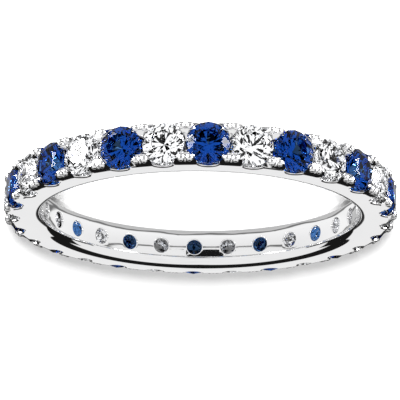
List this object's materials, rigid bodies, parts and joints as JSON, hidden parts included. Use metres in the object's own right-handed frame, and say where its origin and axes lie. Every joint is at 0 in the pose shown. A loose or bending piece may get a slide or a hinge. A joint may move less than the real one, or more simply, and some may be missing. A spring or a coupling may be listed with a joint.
{
  "type": "cubic zirconia ring",
  "caption": "Full eternity ring of white metal with a row of small round brilliant stones, deep blue and clear in turn, held by round beads on a scalloped band.",
  "frame": {"origin": "centre of the ring on the surface that it lies on, below the middle of the finger hole", "axes": "+Z along the axis of the ring, up from the surface that it lies on; -Y towards the stone that faces the viewer"},
  "size_m": [0.0216, 0.0216, 0.0023],
  "materials": {
    "white_metal": "mirror polished, rhodium plated sterling silver",
    "blue_stone": "faceted and polished, deep sapphire blue",
    "clear_stone": "faceted and polished, colourless"
  },
  "bodies": {
    "root": {"band": "white_metal", "blue_stone_01": "blue_stone", "blue_stone_02": "blue_stone", "blue_stone_03": "blue_stone", "blue_stone_04": "blue_stone", "blue_stone_05": "blue_stone", "blue_stone_06": "blue_stone", "blue_stone_07": "blue_stone", "blue_stone_08": "blue_stone", "blue_stone_09": "blue_stone", "blue_stone_10": "blue_stone", "blue_stone_11": "blue_stone", "blue_stone_12": "blue_stone", "blue_stone_13": "blue_stone", "blue_stone_14": "blue_stone", "clear_stone_01": "clear_stone", "clear_stone_02": "clear_stone", "clear_stone_03": "clear_stone", "clear_stone_04": "clear_stone", "clear_stone_05": "clear_stone", "clear_stone_06": "clear_stone", "clear_stone_07": "clear_stone", "clear_stone_08": "clear_stone", "clear_stone_09": "clear_stone", "clear_stone_10": "clear_stone", "clear_stone_11": "clear_stone", "clear_stone_12": "clear_stone", "clear_stone_13": "clear_stone", "clear_stone_14": "clear_stone"}
  },
  "joints": []
}
